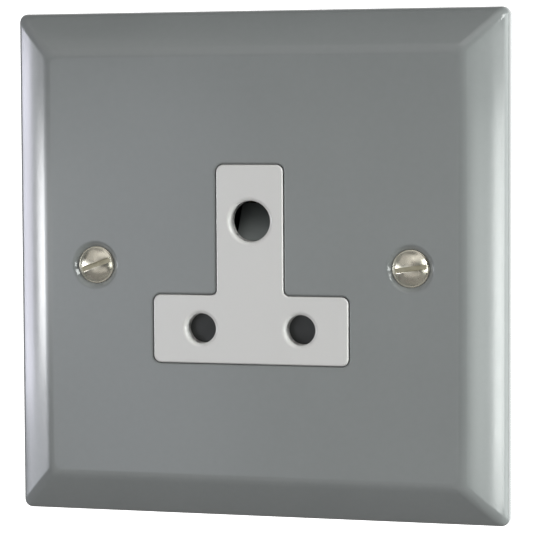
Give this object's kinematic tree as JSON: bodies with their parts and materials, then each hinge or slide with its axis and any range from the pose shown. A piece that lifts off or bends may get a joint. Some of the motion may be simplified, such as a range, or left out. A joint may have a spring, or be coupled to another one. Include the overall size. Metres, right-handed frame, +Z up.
{
  "type": "round pin socket outlet",
  "caption": "Square wall socket outlet: a metal plate with a sloping border round a T-shaped insert for a round pin plug, with a shutter.",
  "frame": {"origin": "centre of the plate's outline, on the axis midway between the fixing screws, in the plane of the wall that the rim meets", "axes": "+Y points into the wall, so the plate faces -Y; +Z is up with the earth hole above the line holes; +X is to the right of someone facing the plate"},
  "size_m": [0.0944, 0.0269, 0.0944],
  "materials": {
    "painted_plate": "gloss grey paint",
    "white_moulding": "smooth white moulding",
    "dark_moulding": "fine matt moulding",
    "shutter_moulding": "smooth dark grey moulding",
    "spring_steel": "drawn steel",
    "contact_brass": "rolled sheet",
    "terminal_brass": "machined",
    "plated_steel": "zinc plated",
    "nickel_screw": "polished nickel plate"
  },
  "bodies": {
    "socket": {"face_plate": "painted_plate", "front_housing": "white_moulding", "rear_housing": "dark_moulding", "shutter_spring": "spring_steel", "earth_contact": "contact_brass", "live_contact": "contact_brass", "neutral_contact": "contact_brass", "earth_contact_clip": "spring_steel", "live_contact_clip": "spring_steel", "neutral_contact_clip": "spring_steel", "earth_terminal": "terminal_brass", "live_terminal": "terminal_brass", "neutral_terminal": "terminal_brass", "earth_terminal_screw": "plated_steel", "live_terminal_screw": "plated_steel", "neutral_terminal_screw": "plated_steel", "earth_strap": "contact_brass", "plate_nuts": "plated_steel", "housing_screws": "plated_steel", "fixing_screw_left": "nickel_screw", "fixing_screw_right": "nickel_screw"},
    "shutter": {"shutter": "shutter_moulding"}
  },
  "joints": [
    {"name": "shutter_slide", "type": "slide", "parent": "socket", "child": "shutter", "axis": [0, 0, -1], "range_m": [0, 0.0068], "stiffness_N_per_m": 500, "springref_m": -0.002, "deforming": ["shutter_spring"]}
  ]
}
